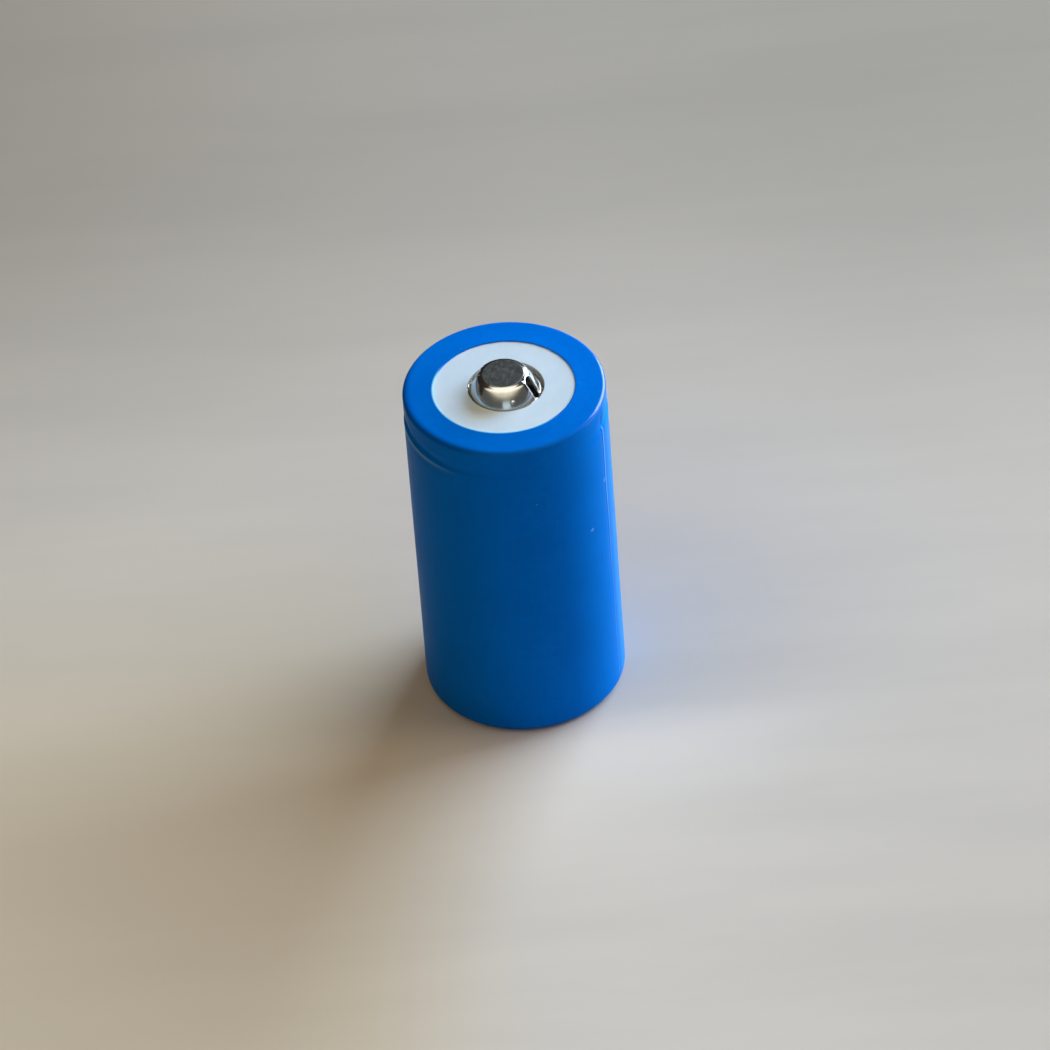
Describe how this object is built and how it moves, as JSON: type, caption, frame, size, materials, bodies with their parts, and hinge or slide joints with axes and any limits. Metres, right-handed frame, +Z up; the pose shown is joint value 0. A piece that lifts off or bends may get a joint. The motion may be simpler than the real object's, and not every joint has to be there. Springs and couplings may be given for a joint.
{
  "type": "lithium-ion battery cell",
  "caption": "Cylindrical 18350-size lithium-ion cell with a raised vented button top, white insulating washer and blue shrink sleeve.",
  "frame": {"origin": "centre of the cell's underside, on the surface that it stands on", "axes": "+Z up along the cell's axis, from the negative base to the positive button; +X lies about 20 degrees from the vent slot that shows"},
  "size_m": [0.0184, 0.0184, 0.0355],
  "materials": {
    "blue_sleeve": "semi-gloss shrink film, blue",
    "white_washer": "matt white insulating sheet",
    "cap_steel": "nickel-plated pressed steel, flat top finely pitted",
    "ptc_polymer": "dark conductive polymer ring",
    "disc_aluminium": "plain pressed aluminium",
    "seal_plastic": "translucent moulded seal",
    "can_steel": "nickel-plated drawn steel"
  },
  "bodies": {
    "root": {"sleeve": "blue_sleeve", "top_washer": "white_washer", "positive_cap": "cap_steel", "ptc_ring": "ptc_polymer", "burst_disc": "disc_aluminium", "gasket": "seal_plastic", "can": "can_steel"}
  },
  "joints": []
}
